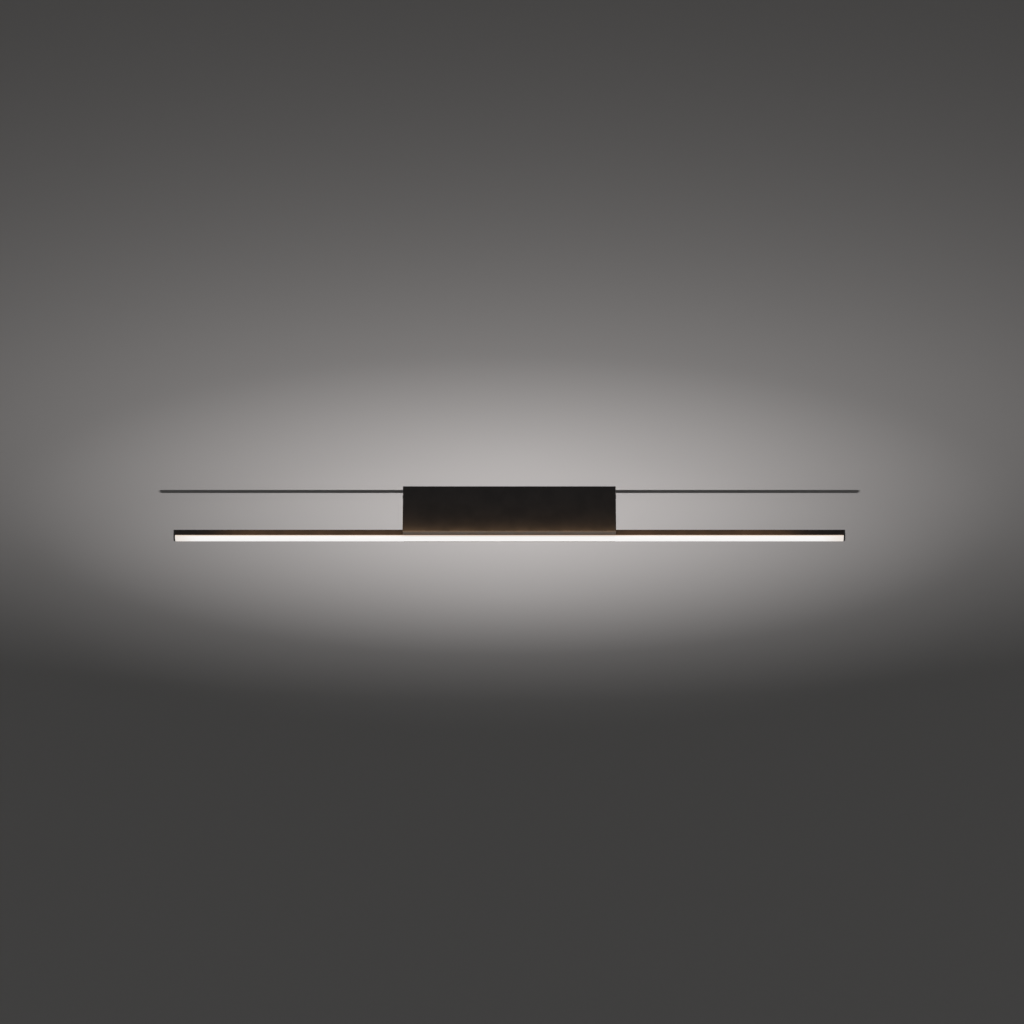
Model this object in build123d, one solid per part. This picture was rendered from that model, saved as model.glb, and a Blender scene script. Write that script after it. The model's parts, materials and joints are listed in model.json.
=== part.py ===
from build123d import *
import math
import os

# Linear LED ceiling light. Millimetres, +Z up, X along the light bar.
# The origin is the middle of the bracket's upper face, which lies on the ceiling.
# The light hangs below Z = 0.

# ---- driving dimensions ----
BAR_LENGTH = 1200.0
CHANNEL_WIDTH = 17.4
CHANNEL_HEIGHT = 9.9
CHANNEL_WALL = 1.2
CHANNEL_WEB = 2.0
CAP_THICKNESS = 3.0

HOUSING_LENGTH = 380.0
HOUSING_DEPTH = 66.0
HOUSING_TOP = -0.5
HOUSING_BOTTOM = -84.0
SHEET = 1.2
EDGE_RADIUS = 1.0

BRACKET_SHEET = 2.0
BRACKET_DEPTH = 44.0
CEILING_SLOT_SPACING = 240.0
CEILING_SLOT_LENGTH = 20.0
CEILING_SLOT_WIDTH = 5.0
CABLE_HOLE_RADIUS = 9.0
CABLE_BORE_RADIUS = 6.0
TAB_DEPTH = 18.0
TAB_WIDTH = 24.0
LOCK_HEIGHT = -10.0
LOCK_HEAD_RADIUS = 3.6
LOCK_HEAD_HEIGHT = 1.4

TRAY_LENGTH = 356.0
TRAY_TOP_WIDTH = 30.0

DRIVER_X = 10.0
DRIVER_LENGTH = 150.0
DRIVER_WIDTH = 40.0
DRIVER_BASE_HEIGHT = 16.0
DRIVER_LID_HEIGHT = 12.0
DRIVER_WALL = 1.6

TERMINAL_X = -118.0
POLE_PITCH = 8.0
POLES = ("live", "neutral", "earth")

LED_PITCH = 9.8
LED_COUNT = 120
SUPPLY_LEAD_RADIUS = 1.0
BAR_LEAD_RADIUS = 0.8

# ---- clearances ----
GAP = 0.1
SLIDE_GAP = 0.3
THREAD_GAP = 0.05

# ---- levels and places that follow from them ----
CHANNEL_TOP = HOUSING_BOTTOM + CHANNEL_HEIGHT
CHANNEL_HALF = CHANNEL_WIDTH / 2
CHANNEL_END = BAR_LENGTH / 2 - CAP_THICKNESS
FLOOR = HOUSING_BOTTOM + SHEET
END_WALL_OUT = HOUSING_LENGTH / 2
END_WALL_IN = END_WALL_OUT - SHEET
TAB_OUT = END_WALL_IN - 0.5
TAB_IN = TAB_OUT - BRACKET_SHEET
TRAY_UNDER = CHANNEL_TOP + GAP
TRAY_TOP = TRAY_UNDER + SHEET
SCREW_ROW = 11.6
STUDS = [(x, y) for x in (-160.0, 160.0) for y in (-22.0, 22.0)]
BAR_SCREWS = [-168.0, -150.0, 150.0, 168.0]
LEAD_X = 12 * LED_PITCH
LEAD_SPREAD = 1.7
EARTH_X = -90.0
DRIVER_LEFT = DRIVER_X - DRIVER_LENGTH / 2
DRIVER_RIGHT = DRIVER_X + DRIVER_LENGTH / 2
DRIVER_SCREWS = [(x, y) for x in (DRIVER_LEFT - 6, DRIVER_RIGHT + 6) for y in (-SCREW_ROW, SCREW_ROW)]
SEAM = TRAY_TOP + DRIVER_BASE_HEIGHT
PCB_UNDER = TRAY_TOP + 6.0
PCB_TOP = PCB_UNDER + 1.6
DRIVER_ROOF = SEAM + DRIVER_LID_HEIGHT - DRIVER_WALL
DRIVER_WIRE = PCB_TOP + 4.0
TERMINAL_FLOOR = TRAY_TOP + 1.2
TERMINAL_HEIGHT = 14.0
TERMINAL_WIRE = TRAY_TOP + 4.8
TERMINAL_HALF = 13.0
TERMINAL_SCREWS = [TERMINAL_X - 16.5, TERMINAL_X + 16.5]
POLE_X = [TERMINAL_X + (i - 1) * POLE_PITCH for i in range(len(POLES))]
LEVER_Y = 1.0
LEVER_Z = TRAY_TOP + 10.8
LEVER_PIN = 1.5
TAPE_UNDER = CHANNEL_TOP - CHANNEL_WEB - 0.15
BOARD_UNDER = TAPE_UNDER - 1.0
BOARD_WIDTH = 10.0
BOARD_LENGTH = LED_COUNT * LED_PITCH
SPIGOT = 8.0


# ---- shapes that many pieces share ----
def block(x0, x1, y0, y1, z0, z1):
    """A box between two corners."""
    middle = Pos((x0 + x1) / 2, (y0 + y1) / 2, (z0 + z1) / 2)
    return middle * Box(x1 - x0, y1 - y0, z1 - z0)


def rod(x, y, z0, z1, radius):
    """An upright cylinder."""
    return Pos(x, y, (z0 + z1) / 2) * Cylinder(radius, z1 - z0)


def rod_x(x0, x1, y, z, radius):
    """A cylinder along X."""
    return Pos((x0 + x1) / 2, y, z) * Rot(0, 90, 0) * Cylinder(radius, x1 - x0)


def rod_y(x, y0, y1, z, radius):
    """A cylinder along Y."""
    return Pos(x, (y0 + y1) / 2, z) * Rot(90, 0, 0) * Cylinder(radius, y1 - y0)


def bar_section(profile, x0, x1):
    """A YZ profile drawn out along X."""
    return extrude(Plane.YZ.offset(x0) * profile, x1 - x0, dir=(1, 0, 0))


def outline(points):
    """A closed outline through (y, z) points."""
    return Polygon(*points, align=None)


def mirrored(points):
    """Points on the +Y side, followed by their mirror images."""
    return points + [(-y, z) for y, z in reversed(points)]


def pan_screw(radius, length, head_radius, head_height):
    """A pan-head screw with a cross recess: the head's seat is at Z = 0 and the shank points down."""
    head = rod(0, 0, 0, head_height, head_radius)
    head = fillet(head.edges().group_by(Axis.Z)[-1], head_height * 0.45)
    shank = rod(0, 0, -length, 0, radius)
    shank = chamfer(shank.edges().group_by(Axis.Z)[0], radius * 0.3)
    arm = head_radius * 0.55
    blade = head_radius * 0.12
    depth = head_height * 0.6
    cross = block(-arm, arm, -blade, blade, head_height - depth, head_height + 1)
    cross += block(-blade, blade, -arm, arm, head_height - depth, head_height + 1)
    return head + shank - cross


def hex_nut(flats, height, bore):
    """A hexagon nut with its seat at Z = 0."""
    body = extrude(RegularPolygon(flats / math.sqrt(3), 6), height)
    return body - rod(0, 0, -1, height + 1, bore)


def along_x(direction):
    """Turns a piece that points up so that it points along +X or -X."""
    return Rot(0, 90 * direction, 0)


def bend_radii(points):
    """The largest bends that the runs of a route leave room for."""
    route = [Vector(*p) for p in points]
    radii = []
    for before, here, after in zip(route, route[1:], route[2:]):
        turn = math.radians((here - before).get_angle(after - here))
        shorter = min((here - before).length, (after - here).length)
        radii.append(0.45 * shorter / math.tan(turn / 2))
    return radii


def lead(name, points, radius):
    """An insulated lead along straight runs joined by tangent arcs."""
    radii = bend_radii(points)
    path = FilletPolyline(*points, radius=radii)
    section = Plane(path @ 0, z_dir=path % 0) * Circle(radius)
    tube = sweep(section, path=path)
    share = tube.volume / (math.pi * radius**2 * path.length)
    bends = [round(r, 1) for r in radii]
    print(name, "length", round(path.length, 1), "bend radii", bends, "volume share", round(share, 4))
    return tube


def save(name, *solids):
    """Writes one node, of one solid or of several that are alike."""
    shape = solids[0] if len(solids) == 1 else Compound(children=list(solids))
    export_step(shape, f"parts/{name}.step")


# ---- ceiling bracket ----
def ceiling_bracket():
    """Folded steel strip: two slots and a cable hole, long stiffening flanges and an end tab at each end."""
    half = BRACKET_DEPTH / 2
    flange_end = TAB_IN - 14
    strip = block(-TAB_OUT, TAB_OUT, -TAB_WIDTH / 2, TAB_WIDTH / 2, -BRACKET_SHEET, 0)
    strip += block(-flange_end, flange_end, -half, half, -BRACKET_SHEET, 0)
    for side in (-1, 1):
        outer = side * half
        inner = side * (half - BRACKET_SHEET)
        strip += block(-flange_end, flange_end, min(outer, inner), max(outer, inner), -8, 0)
        outer = side * TAB_OUT
        inner = side * TAB_IN
        tab = block(min(outer, inner), max(outer, inner), -TAB_WIDTH / 2, TAB_WIDTH / 2, -TAB_DEPTH, 0)
        tab = fillet(tab.edges().filter_by(Axis.X).group_by(Axis.Z)[0], 5)
        strip += tab
    for x in (-CEILING_SLOT_SPACING / 2, CEILING_SLOT_SPACING / 2):
        slot = SlotOverall(CEILING_SLOT_LENGTH, CEILING_SLOT_WIDTH)
        strip -= Pos(x, 0, -BRACKET_SHEET - 1) * extrude(slot, BRACKET_SHEET + 2)
    strip -= rod(0, 0, -BRACKET_SHEET - 1, 1, CABLE_HOLE_RADIUS)
    return strip - rod_x(-TAB_OUT - 1, TAB_OUT + 1, 0, LOCK_HEIGHT, 2 + THREAD_GAP)


def cable_grommet():
    """Rubber bush in the cable hole, with its flange below the strip."""
    ring = rod(0, 0, -BRACKET_SHEET - 1.5, -BRACKET_SHEET, 12)
    ring = fillet(ring.edges().group_by(Axis.Z)[0], 0.6)
    ring += rod(0, 0, -BRACKET_SHEET, -0.2, CABLE_HOLE_RADIUS - THREAD_GAP)
    return ring - rod(0, 0, -BRACKET_SHEET - 3, 1, CABLE_BORE_RADIUS)


def locking_nuts():
    """Nuts welded on the inner side of both end tabs."""
    nut = hex_nut(7.0, 3.2, 2 + THREAD_GAP)
    return [Pos(side * TAB_IN, 0, LOCK_HEIGHT) * along_x(-side) * nut for side in (-1, 1)]


def locking_screw(side):
    """Screw in an end tab, with its head just outside the box's end wall."""
    seat = side * (END_WALL_OUT + SLIDE_GAP)
    screw = pan_screw(2.0, 9.0, LOCK_HEAD_RADIUS, LOCK_HEAD_HEIGHT)
    return Pos(seat, 0, LOCK_HEIGHT) * along_x(side) * screw


def bracket_earth():
    """Earth stud below the strip, its toothed washer and its nut."""
    x = 40.0
    stud = rod(x, 0, -13, -BRACKET_SHEET, 2.0)
    stud = chamfer(stud.edges().group_by(Axis.Z)[0], 0.5)
    washer = rod(x, 0, -BRACKET_SHEET - 0.8, -BRACKET_SHEET, 4.0)
    for i in range(8):
        notch = block(3.1, 5.0, -0.4, 0.4, -4, 0)
        washer -= Pos(x, 0, 0) * Rot(0, 0, 45 * i) * notch
    washer -= rod(x, 0, -4, 0, 2 + GAP)
    nut = Pos(x, 0, -BRACKET_SHEET - 0.8 - 3.2) * hex_nut(7.0, 3.2, 2 + THREAD_GAP)
    return stud, washer, nut


# ---- box ----
def housing_shell():
    """Folded sheet box, open at the top, slotted below and in both end walls for the bar."""
    half = HOUSING_DEPTH / 2
    shell = block(-END_WALL_OUT, END_WALL_OUT, -half, half, HOUSING_BOTTOM, HOUSING_TOP)
    upright = shell.edges().filter_by(Axis.Z)
    lowest = shell.edges().group_by(Axis.Z)[0]
    shell = fillet(upright + lowest, EDGE_RADIUS)
    shell -= block(-END_WALL_IN, END_WALL_IN, -half + SHEET, half - SHEET, FLOOR, 1)
    slot_half = CHANNEL_HALF + SLIDE_GAP
    slot_top = CHANNEL_TOP + SLIDE_GAP
    shell -= block(-END_WALL_OUT - 1, END_WALL_OUT + 1, -slot_half, slot_half, HOUSING_BOTTOM - 1, slot_top)
    for side in (-1, 1):
        wall = side * (END_WALL_IN + SHEET / 2)
        shell -= rod_x(wall - 1, wall + 1, 0, LOCK_HEIGHT, 2.3)
        shell -= block(wall - 1, wall + 1, -2.3, 2.3, LOCK_HEIGHT, 1)
    return shell


def tray_studs():
    """Weld studs that stand on the box's bottom flanges."""
    studs = []
    for x, y in STUDS:
        stud = rod(x, y, FLOOR, FLOOR + 0.6, 2.0) + rod(x, y, FLOOR, FLOOR + 7.0, 1.5)
        studs.append(chamfer(stud.edges().group_by(Axis.Z)[-1], 0.3))
    return studs


def tray_nuts():
    """Flange nuts on the weld studs."""
    seat = FLOOR + GAP + SHEET
    nut = rod(0, 0, 0, 0.8, 3.6) + extrude(RegularPolygon(5.5 / math.sqrt(3), 6), 3.0)
    nut -= rod(0, 0, -1, 4, 1.5 + THREAD_GAP)
    return [Pos(x, y, seat) * nut for x, y in STUDS]


def gear_tray():
    """Hat-section tray over the bar: it clamps the bar and carries the driver and the terminal block."""
    top = TRAY_TOP_WIDTH / 2
    foot = 29.0
    foot_under = FLOOR + GAP
    points = [
        (top, TRAY_TOP),
        (top, foot_under + SHEET),
        (foot, foot_under + SHEET),
        (foot, foot_under),
        (top - SHEET, foot_under),
        (top - SHEET, TRAY_UNDER),
    ]
    half = TRAY_LENGTH / 2
    tray = bar_section(outline(mirrored(points)), -half, half)
    for x, y in STUDS:
        tray -= rod(x, y, foot_under - 1, foot_under + SHEET + 1, 2.3)
    for x in BAR_SCREWS:
        tray -= rod(x, 0, TRAY_UNDER - 1, TRAY_TOP + 1, 1.7)
    tapped = DRIVER_SCREWS + [(x, SCREW_ROW) for x in TERMINAL_SCREWS] + [(EARTH_X, SCREW_ROW)]
    for x, y in tapped:
        tray -= rod(x, y, TRAY_UNDER - 1, TRAY_TOP + 1, 1.5 + THREAD_GAP)
    return tray - rod(LEAD_X, 0, TRAY_UNDER - 1, TRAY_TOP + 1, 5.2)


def bar_screws():
    """Screws from the tray down into the bar's web."""
    screw = pan_screw(1.5, 3.2, 2.8, 2.0)
    return [Pos(x, 0, TRAY_TOP) * screw for x in BAR_SCREWS]


def lead_grommet():
    """Snap bush that guides the two leads through the tray and the bar's web."""
    flange = rod(LEAD_X, 0, TRAY_TOP, TRAY_TOP + 1.2, 7.0)
    flange = fillet(flange.edges().group_by(Axis.Z)[-1], 0.5)
    flange += rod(LEAD_X, 0, CHANNEL_TOP - CHANNEL_WEB, TRAY_TOP, 5.2 - THREAD_GAP)
    return flange - rod(LEAD_X, 0, CHANNEL_TOP - CHANNEL_WEB - 1, TRAY_TOP + 3, 3.4)


def earth_tag():
    """Ring tag on the tray, with its crimp barrel pointing away from the terminal block."""
    seat = TRAY_TOP
    barrel_z = seat + 1.55
    ring = rod(EARTH_X, SCREW_ROW, seat, seat + 0.8, 3.6)
    neck = block(EARTH_X - 1.4, EARTH_X + 1.4, SCREW_ROW + 2, 17.5, seat, seat + 0.8)
    barrel = rod_y(EARTH_X, 16.5, 21.5, barrel_z, 1.55)
    barrel -= rod_y(EARTH_X, 17.5, 22.5, barrel_z, SUPPLY_LEAD_RADIUS + THREAD_GAP)
    return ring + neck + barrel - rod(EARTH_X, SCREW_ROW, seat - 1, seat + 2, 1.5 + GAP)


def earth_screw():
    """Screw that holds the ring tag."""
    return Pos(EARTH_X, SCREW_ROW, TRAY_TOP + 0.8) * pan_screw(1.5, 4.0, 2.8, 2.0)


# ---- driver ----
def driver_base():
    """Moulded lower half, with board posts, lead openings and fixing ears."""
    half = DRIVER_WIDTH / 2
    base = block(DRIVER_LEFT, DRIVER_RIGHT, -half, half, TRAY_TOP, SEAM)
    base = fillet(base.edges().filter_by(Axis.Z), 2.0)
    base -= block(
        DRIVER_LEFT + DRIVER_WALL,
        DRIVER_RIGHT - DRIVER_WALL,
        -half + DRIVER_WALL,
        half - DRIVER_WALL,
        TRAY_TOP + DRIVER_WALL,
        SEAM + 1,
    )
    for x in (DRIVER_LEFT, DRIVER_RIGHT):
        base -= block(x - 3, x + 3, -7.2, 7.2, PCB_TOP, SEAM + 1)
    for x in (DRIVER_LEFT + 10, DRIVER_RIGHT - 10):
        for y in (-13, 13):
            base += rod(x, y, TRAY_TOP + 1, PCB_UNDER, 2.5)
    for side, x in ((-1, DRIVER_LEFT), (1, DRIVER_RIGHT)):
        inner = x - side
        outer = x + side * 11
        ear = block(min(inner, outer), max(inner, outer), -16, 16, TRAY_TOP, TRAY_TOP + 2.4)
        base += fillet(ear.edges().filter_by(Axis.Z), 0.9)
    for x, y in DRIVER_SCREWS:
        base -= rod(x, y, TRAY_TOP - 1, TRAY_TOP + 4, 1.7)
    return base


def driver_lid():
    """Moulded upper half, with a lip that snaps into the base and a row of cooling slots on each side."""
    half = DRIVER_WIDTH / 2
    top = SEAM + DRIVER_LID_HEIGHT
    lid = block(DRIVER_LEFT, DRIVER_RIGHT, -half, half, SEAM, top)
    lid = fillet(lid.edges().filter_by(Axis.Z) + lid.edges().group_by(Axis.Z)[-1], 1.2)
    wall = DRIVER_WALL
    lid -= block(DRIVER_LEFT + wall, DRIVER_RIGHT - wall, -half + wall, half - wall, SEAM - 1, top - wall)
    for side in (-1, 1):
        outer = side * (half - wall - GAP)
        inner = outer - side
        lip = block(DRIVER_X - 60, DRIVER_X + 60, min(outer, inner), max(outer, inner), SEAM - 1.8, SEAM + 2)
        root = outer + side
        lip += block(DRIVER_X - 60, DRIVER_X + 60, min(inner, root), max(inner, root), SEAM, SEAM + 2)
        lid += lip
    for i in range(9):
        x = DRIVER_X + (i - 4) * 13
        lid -= block(x - 4, x + 4, -half - 1, half + 1, top - 6, top - 4.4)
    return lid


def driver_board():
    """Circuit board on the base's posts."""
    return block(DRIVER_LEFT + 3, DRIVER_RIGHT - 3, -17, 17, PCB_UNDER, PCB_TOP)


def transformer():
    """Bobbin foot, ferrite core with two windows, and the winding round its middle leg."""
    x = DRIVER_X + 22
    low = PCB_TOP + 2
    bobbin = block(x - 11, x + 11, -9, 9, PCB_TOP, low)
    bobbin = fillet(bobbin.edges().filter_by(Axis.Z), 1.0)
    core = block(x - 5, x + 5, -10, 10, low, low + 14)
    for y in (-5.7, 5.7):
        core -= block(x - 6, x + 6, y - 2.5, y + 2.5, low + 3, low + 11)
    winding = block(x - 9.5, x + 9.5, -8 + GAP, 8 - GAP, low + 3.2, low + 10.8)
    winding = fillet(winding.edges().filter_by(Axis.Z), 2.5)
    winding -= block(x - 5 - GAP, x + 5 + GAP, -3.2 - GAP, 3.2 + GAP, low, low + 14)
    return bobbin, core, winding


def capacitors():
    """Two upright electrolytic capacitors, crimped near their feet."""
    cans = []
    for x, y, radius, height in ((DRIVER_X - 22, -8, 6.0, 17.0), (DRIVER_X + 50, 6, 5.0, 15.0)):
        can = rod(x, y, PCB_TOP, PCB_TOP + height, radius)
        can = fillet(can.edges().group_by(Axis.Z)[-1], 0.8)
        groove = rod(x, y, PCB_TOP + 1.6, PCB_TOP + 2.6, radius + 1)
        groove -= rod(x, y, PCB_TOP + 1, PCB_TOP + 3, radius - 0.5)
        cans.append(can - groove)
    return cans


def film_capacitor():
    """Boxed film capacitor behind the input terminal."""
    body = block(DRIVER_X - 50, DRIVER_X - 36, 3, 11, PCB_TOP, PCB_TOP + 12)
    return fillet(body.edges().filter_by(Axis.Z), 0.6)


def choke():
    """Upright ring core, and the copper wound on it."""
    x = DRIVER_X - 22
    y = 9.0
    z = PCB_TOP + 6.8
    ring = rod_y(x, y - 2.5, y + 2.5, z, 6.0) - rod_y(x, y - 3, y + 3, z, 3.6)
    turns = rod_y(x, y - 3.3, y + 3.3, z, 6.8) - rod_y(x, y - 4, y + 4, z, 2.7)
    turns -= rod_y(x, y - 2.6, y + 2.6, z, 6.1) - rod_y(x, y - 3, y + 3, z, 3.5)
    turns -= block(x - 1.2, x + 1.2, y - 4, y + 4, z - 8, z + 8)
    return ring, turns


def heat_sink():
    """Finned plate that stands on the board."""
    x = DRIVER_X - 2
    sink = block(x - 1.5, x + 1.5, -14, 4, PCB_TOP, PCB_TOP + 16)
    for i in range(4):
        y = -13 + i * 5
        sink += block(x + 1, x + 6, y - 0.6, y + 0.6, PCB_TOP + 1, PCB_TOP + 16)
    return sink


def transistor():
    """Switching transistor clipped to the heat sink's flat side."""
    x = DRIVER_X - 2 - 1.5
    body = block(x - 4.5, x, -9.5, 0.5, PCB_TOP + 5, PCB_TOP + 14)
    for i in range(3):
        y = -4.5 + (i - 1) * 2.54
        body += block(x - 2.4, x - 1.8, y - 0.4, y + 0.4, PCB_TOP, PCB_TOP + 6)
    return body


def fuse():
    """Sleeved fuse that lies on the board by the input terminal."""
    return rod_x(DRIVER_X - 52, DRIVER_X - 38, -10, PCB_TOP + 2.6, 2.6)


def driver_terminal(side):
    """Two-pole push-in terminal in a lead opening of the base."""
    face = DRIVER_LEFT if side < 0 else DRIVER_RIGHT
    deep = face - side * 12
    body = block(min(face, deep), max(face, deep), -7, 7, PCB_TOP, PCB_TOP + 7.6)
    mouth = face + side
    reach = face - side * 8
    release = face - side * 5
    for y in (-3.0, 3.0):
        body -= rod_x(min(mouth, reach), max(mouth, reach), y, DRIVER_WIRE, SUPPLY_LEAD_RADIUS + GAP)
        body -= block(release - 1.2, release + 1.2, y - 1, y + 1, PCB_TOP + 6.4, PCB_TOP + 9)
    return body


# ---- supply terminal block ----
def terminal_base():
    """Insulating plate that closes the terminal block below."""
    return block(TERMINAL_X - TERMINAL_HALF, TERMINAL_X + TERMINAL_HALF, -10, 10, TRAY_TOP, TERMINAL_FLOOR)


def terminal_body():
    """Moulded body: three wire entries on each side, lever slots above, and a chamber for each contact."""
    top = TRAY_TOP + TERMINAL_HEIGHT
    body = block(TERMINAL_X - TERMINAL_HALF, TERMINAL_X + TERMINAL_HALF, -10, 10, TERMINAL_FLOOR, top)
    body = fillet(body.edges().filter_by(Axis.Z), 0.8)
    for x in TERMINAL_SCREWS:
        body += rod(x, SCREW_ROW - 4, TRAY_TOP, TRAY_TOP + 2.4, 3.9)
        body += block(x - 3.9, x + 3.9, SCREW_ROW - 4, SCREW_ROW + 3, TRAY_TOP, TRAY_TOP + 2.4)
    near = TERMINAL_SCREWS[0]
    far = TERMINAL_SCREWS[1]
    body -= block(near + 3.5, far - 3.5, -9, 17, TRAY_TOP - 1, TERMINAL_FLOOR)
    for x in TERMINAL_SCREWS:
        body -= rod(x, SCREW_ROW, TRAY_TOP - 1, TRAY_TOP + 4, 1.7)
    for x in POLE_X:
        body -= rod_y(x, -11, -3, TERMINAL_WIRE, 1.7)
        body -= rod_y(x, 3, 11, TERMINAL_WIRE, SUPPLY_LEAD_RADIUS + GAP)
        body -= block(x - 2.7, x + 2.7, -4, 4, TERMINAL_FLOOR - 1, TERMINAL_WIRE + 1.8)
        body -= block(x - 3.3, x + 3.3, -11, LEVER_Y + 3.6, LEVER_Z - 2.8, top + 1)
        body -= rod_x(x - 3.8, x + 3.8, LEVER_Y, LEVER_Z, LEVER_PIN + THREAD_GAP)
    return body


def terminal_contacts():
    """Copper bridges that the wires lie on."""
    under = TERMINAL_WIRE - SUPPLY_LEAD_RADIUS - GAP
    pieces = []
    for x in POLE_X:
        bridge = block(x - 2.4, x + 2.4, -3.7, 3.7, under - 1, under)
        bridge += block(x - 2.4, x + 2.4, -3.7, -2.9, TERMINAL_FLOOR, under)
        bridge += block(x - 2.4, x + 2.4, 2.9, 3.7, TERMINAL_FLOOR, under)
        pieces.append(bridge)
    return pieces


def terminal_springs():
    """Leaf springs above the wires, bent down at the supply side."""
    leaf = TERMINAL_WIRE + SUPPLY_LEAD_RADIUS + GAP
    pieces = []
    for x in POLE_X:
        spring = block(x - 2.2, x + 2.2, -3.6, 3.6, leaf, leaf + 0.4)
        spring += block(x - 2.2, x + 2.2, -3.6, -3.2, TERMINAL_WIRE - 0.9, leaf + 0.4)
        pieces.append(spring)
    return pieces


def terminal_lever(x):
    """Lever arm that lies in its slot, with its thumb end over the wire entry."""
    top = TRAY_TOP + TERMINAL_HEIGHT
    arm = block(x - 3.0, x + 3.0, -11.5, LEVER_Y, LEVER_Z - 0.6, top)
    arm += rod_x(x - 3.0, x + 3.0, LEVER_Y, LEVER_Z, 2.4)
    arm += rod_x(x - 3.6, x + 3.6, LEVER_Y, LEVER_Z, LEVER_PIN)
    for i in range(3):
        y = -10.4 + i * 1.2
        arm -= block(x - 4, x + 4, y - 0.25, y + 0.25, top - 0.4, top + 1)
    return arm


def terminal_screws():
    """Screws through the terminal block's ears."""
    screw = pan_screw(1.5, 4.6, 2.8, 2.0)
    return [Pos(x, SCREW_ROW, TRAY_TOP + 2.4) * screw for x in TERMINAL_SCREWS]


# ---- leads ----
def supply_lead(name, pole_x, far_y, driver_y, height):
    """From the terminal block out to the side, along the box and into the driver."""
    points = [
        (pole_x, 3.2, TERMINAL_WIRE),
        (pole_x, 17.0, TERMINAL_WIRE),
        (pole_x + 12, far_y, height),
        (DRIVER_LEFT - 22, far_y, height),
        (DRIVER_LEFT - 12, driver_y, DRIVER_WIRE),
        (DRIVER_LEFT + 7, driver_y, DRIVER_WIRE),
    ]
    return lead(name, points, SUPPLY_LEAD_RADIUS)


def earth_lead():
    """From the terminal block round to the ring tag's barrel."""
    barrel = TRAY_TOP + 1.55
    points = [
        (POLE_X[2], 3.2, TERMINAL_WIRE),
        (POLE_X[2], 16.0, TERMINAL_WIRE),
        (POLE_X[2] + 8, 26.5, TERMINAL_WIRE - 1),
        (EARTH_X, 28.5, barrel),
        (EARTH_X, 17.7, barrel),
    ]
    return lead("lead_earth", points, SUPPLY_LEAD_RADIUS)


def bar_lead(name, side):
    """From the driver's output along to the grommet and down to the LED board."""
    points = [
        (DRIVER_RIGHT - 7, side * 3.0, DRIVER_WIRE),
        (DRIVER_RIGHT + 12, side * 3.0, DRIVER_WIRE),
        (LEAD_X, side * LEAD_SPREAD, DRIVER_WIRE - 1),
        (LEAD_X, side * LEAD_SPREAD, BOARD_UNDER),
    ]
    return lead(name, points, BAR_LEAD_RADIUS)


# ---- bar ----
def bar_channel():
    """Extruded aluminium channel with a groove in each wall for the diffuser's hooks."""
    low = HOUSING_BOTTOM
    inner = CHANNEL_HALF - CHANNEL_WALL
    points = [
        (CHANNEL_HALF, CHANNEL_TOP),
        (CHANNEL_HALF, low),
        (inner, low),
        (inner, low + 2.9),
        (inner + 0.45, low + 2.9),
        (inner + 0.45, low + 3.9),
        (inner, low + 3.9),
        (inner, CHANNEL_TOP - CHANNEL_WEB),
    ]
    channel = bar_section(outline(mirrored(points)), -CHANNEL_END, CHANNEL_END)
    for x in BAR_SCREWS:
        channel -= rod(x, 0, CHANNEL_TOP - CHANNEL_WEB - 1, CHANNEL_TOP + 1, 1.5 + THREAD_GAP)
    return channel - rod(LEAD_X, 0, CHANNEL_TOP - CHANNEL_WEB - 1, CHANNEL_TOP + 1, 5.2)


def thermal_tape():
    """Adhesive tape between the web and the board."""
    half = BOARD_LENGTH / 2
    width = BOARD_WIDTH / 2
    tape = block(-half, half, -width, width, TAPE_UNDER, CHANNEL_TOP - CHANNEL_WEB)
    return tape - rod(LEAD_X, 0, TAPE_UNDER - 1, CHANNEL_TOP, 3.4)


def led_board():
    """Printed board, with the two holes that the leads are soldered in."""
    half = BOARD_LENGTH / 2
    width = BOARD_WIDTH / 2
    board = block(-half, half, -width, width, BOARD_UNDER, TAPE_UNDER)
    for y in (-LEAD_SPREAD, LEAD_SPREAD):
        board -= rod(LEAD_X, y, BOARD_UNDER - 1, TAPE_UNDER + 1, BAR_LEAD_RADIUS + THREAD_GAP)
    return board


def led_chips():
    """LED packages in one row, face down."""
    first = -(LED_COUNT - 1) / 2 * LED_PITCH
    places = [first + i * LED_PITCH for i in range(LED_COUNT)]
    return [block(x - 1.75, x + 1.75, -1.4, 1.4, BOARD_UNDER - 0.7, BOARD_UNDER) for x in places]


def led_resistors():
    """One resistor beside every sixth gap between LED packages."""
    places = [i * LED_PITCH * 6 + LED_PITCH / 2 for i in range(-10, 10)]
    return [block(x - 0.8, x + 0.8, 3.0, 3.8, BOARD_UNDER - 0.45, BOARD_UNDER) for x in places]


def solder_joints():
    """Solder on the leads' ends, under the board."""
    drop = Cone(0.7, 1.4, 0.9)
    return [Pos(LEAD_X, y, BOARD_UNDER - 0.45) * drop for y in (-LEAD_SPREAD, LEAD_SPREAD)]


def diffuser():
    """Half-round opal cover with a hooked leg inside each wall of the channel."""
    low = HOUSING_BOTTOM
    inner = CHANNEL_HALF - CHANNEL_WALL
    dome = Pos(0, low) * (Circle(CHANNEL_HALF) - Circle(inner))
    dome -= Pos(0, low + 20 - THREAD_GAP) * Rectangle(40, 40)
    for side in (-1, 1):
        leg_y = side * (inner - GAP - 0.45)
        dome += Pos(leg_y, low - 0.1) * Rectangle(0.9, 7.6)
        dome += Pos(side * (inner - GAP), low + 3.35) * Rectangle(0.7, 0.7)
    return bar_section(dome, -CHANNEL_END, CHANNEL_END)


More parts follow.
